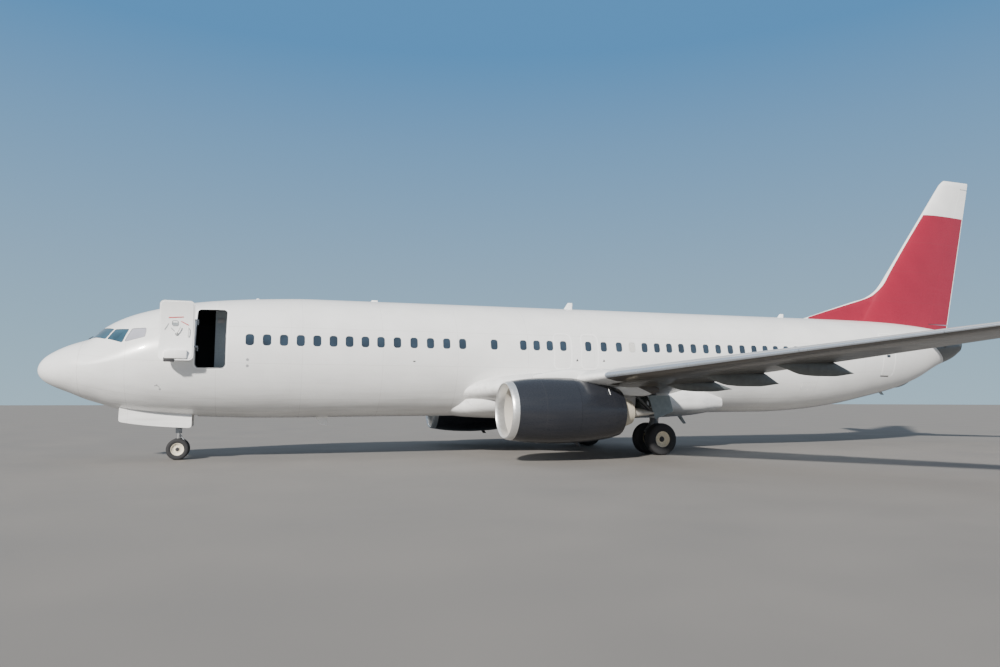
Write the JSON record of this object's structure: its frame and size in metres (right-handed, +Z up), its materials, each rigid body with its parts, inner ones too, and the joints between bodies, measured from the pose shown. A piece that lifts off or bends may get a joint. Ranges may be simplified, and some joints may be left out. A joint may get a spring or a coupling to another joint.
{
  "type": "narrow-body airliner",
  "caption": "Parked narrow-body airliner with fan engines under low swept wings, a red tail, an open front left door and its landing gear down.",
  "frame": {"origin": "on the ground, under the middle of the overall length and width", "axes": "+X towards the tail, +Y towards the right wing tip, +Z up"},
  "size_m": [39.47, 34.32, 12.52],
  "materials": {
    "white_paint": "gloss",
    "red_paint": "gloss",
    "grey_paint": "satin",
    "cowl_paint": "gloss",
    "bare_metal": "polished",
    "dark_metal": "satin",
    "glazing": "clear",
    "tyre_rubber": "matte",
    "wheel_paint": "satin",
    "gear_paint": "satin",
    "cabin_lining": "matte"
  },
  "bodies": {
    "airframe": {"radome": "white_paint", "nose_section": "white_paint", "flight_deck_glazing": "glazing", "entry_cabinet": "cabin_lining", "fuselage_barrel": "white_paint", "entry_door": "white_paint", "door_hinge_lower": "gear_paint", "door_hinge_upper": "gear_paint", "tail_section": "white_paint", "tail_cone": "dark_metal", "fin": "red_paint", "stabilizer_left": "grey_paint", "stabilizer_right": "grey_paint", "slats_left": "bare_metal", "flap_inboard_left": "grey_paint", "flap_outboard_left": "grey_paint", "slats_right": "bare_metal", "flap_inboard_right": "grey_paint", "flap_outboard_right": "grey_paint", "inlet_lip_left": "bare_metal", "core_left": "dark_metal", "nozzle_left": "dark_metal", "exhaust_plug_left": "dark_metal", "fan_cowl_left": "cowl_paint", "reverser_sleeve_left": "cowl_paint", "pylon_left": "white_paint", "wing_left": "grey_paint", "inlet_lip_right": "bare_metal", "core_right": "dark_metal", "nozzle_right": "dark_metal", "exhaust_plug_right": "dark_metal", "fan_cowl_right": "cowl_paint", "reverser_sleeve_right": "cowl_paint", "pylon_right": "white_paint", "wing_right": "grey_paint", "belly_fairing": "white_paint", "main_gear_leg_left": "gear_paint", "main_gear_door_left": "white_paint", "main_gear_leg_right": "gear_paint", "main_gear_door_right": "white_paint", "nose_gear_leg": "gear_paint", "nose_gear_door_left": "white_paint", "nose_gear_door_right": "white_paint"},
    "rudder": {"rudder": "red_paint"},
    "elevator_left": {"elevator_left": "grey_paint"},
    "elevator_right": {"elevator_right": "grey_paint"},
    "aileron_left": {"aileron_left": "grey_paint"},
    "aileron_right": {"aileron_right": "grey_paint"},
    "fan_left": {"fan_left": "dark_metal"},
    "fan_right": {"fan_right": "dark_metal"},
    "nose_steering": {"nose_gear_fork": "gear_paint"},
    "nose_wheels": {"nose_wheel_hubs": "wheel_paint", "nose_tyre_left": "tyre_rubber", "nose_tyre_right": "tyre_rubber"},
    "main_wheels_left": {"main_wheel_hubs_left": "wheel_paint", "main_tyre_left_inner": "tyre_rubber", "main_tyre_left_outer": "tyre_rubber"},
    "main_wheels_right": {"main_wheel_hubs_right": "wheel_paint", "main_tyre_right_inner": "tyre_rubber", "main_tyre_right_outer": "tyre_rubber"}
  },
  "joints": [
    {"name": "rudder_hinge", "type": "hinge", "parent": "airframe", "child": "rudder", "pos_m": [16.255, 0, 5.42], "axis": [0.365, 0, 0.931], "range_deg": [-26, 26]},
    {"name": "elevator_left_hinge", "type": "hinge", "parent": "airframe", "child": "elevator_left", "pos_m": [17.14161, -1.24, 4.66664], "axis": [0.3648, -0.9242, 0.1132], "range_deg": [-20, 20]},
    {"name": "elevator_right_hinge", "type": "hinge", "parent": "airframe", "child": "elevator_right", "pos_m": [17.14161, 1.24, 4.66664], "axis": [0.3648, 0.9242, 0.1132], "range_deg": [-20, 20]},
    {"name": "aileron_left_hinge", "type": "hinge", "parent": "airframe", "child": "aileron_left", "pos_m": [1.81692, -12.05, 3.20586], "axis": [0.2963, -0.9513, 0.0853], "range_deg": [-20, 20]},
    {"name": "aileron_right_hinge", "type": "hinge", "parent": "airframe", "child": "aileron_right", "pos_m": [1.81692, 12.05, 3.20586], "axis": [0.2963, 0.9513, 0.0853], "range_deg": [-20, 20]},
    {"name": "fan_left_spin", "type": "hinge", "parent": "airframe", "child": "fan_left", "pos_m": [-5.265, -4.83, 1.57], "axis": [1, 0, 0], "continuous": true},
    {"name": "fan_right_spin", "type": "hinge", "parent": "airframe", "child": "fan_right", "pos_m": [-5.265, 4.83, 1.57], "axis": [1, 0, 0], "continuous": true},
    {"name": "nose_gear_steering", "type": "hinge", "parent": "airframe", "child": "nose_steering", "pos_m": [-15.735, 0, 0.9], "axis": [0, 0, 1], "range_deg": [-78, 78]},
    {"name": "nose_wheels_spin", "type": "hinge", "parent": "nose_steering", "child": "nose_wheels", "pos_m": [-15.735, 0, 0.335], "axis": [0, 1, 0], "continuous": true},
    {"name": "main_wheels_left_spin", "type": "hinge", "parent": "airframe", "child": "main_wheels_left", "pos_m": [-0.135, -2.86, 0.545], "axis": [0, 1, 0], "continuous": true},
    {"name": "main_wheels_right_spin", "type": "hinge", "parent": "airframe", "child": "main_wheels_right", "pos_m": [-0.135, 2.86, 0.545], "axis": [0, 1, 0], "continuous": true}
  ],
  "couplings": [
    {"joint": "elevator_left_hinge", "follows": "elevator_right_hinge", "ratio": -1},
    {"joint": "aileron_left_hinge", "follows": "aileron_right_hinge", "ratio": 1}
  ]
}
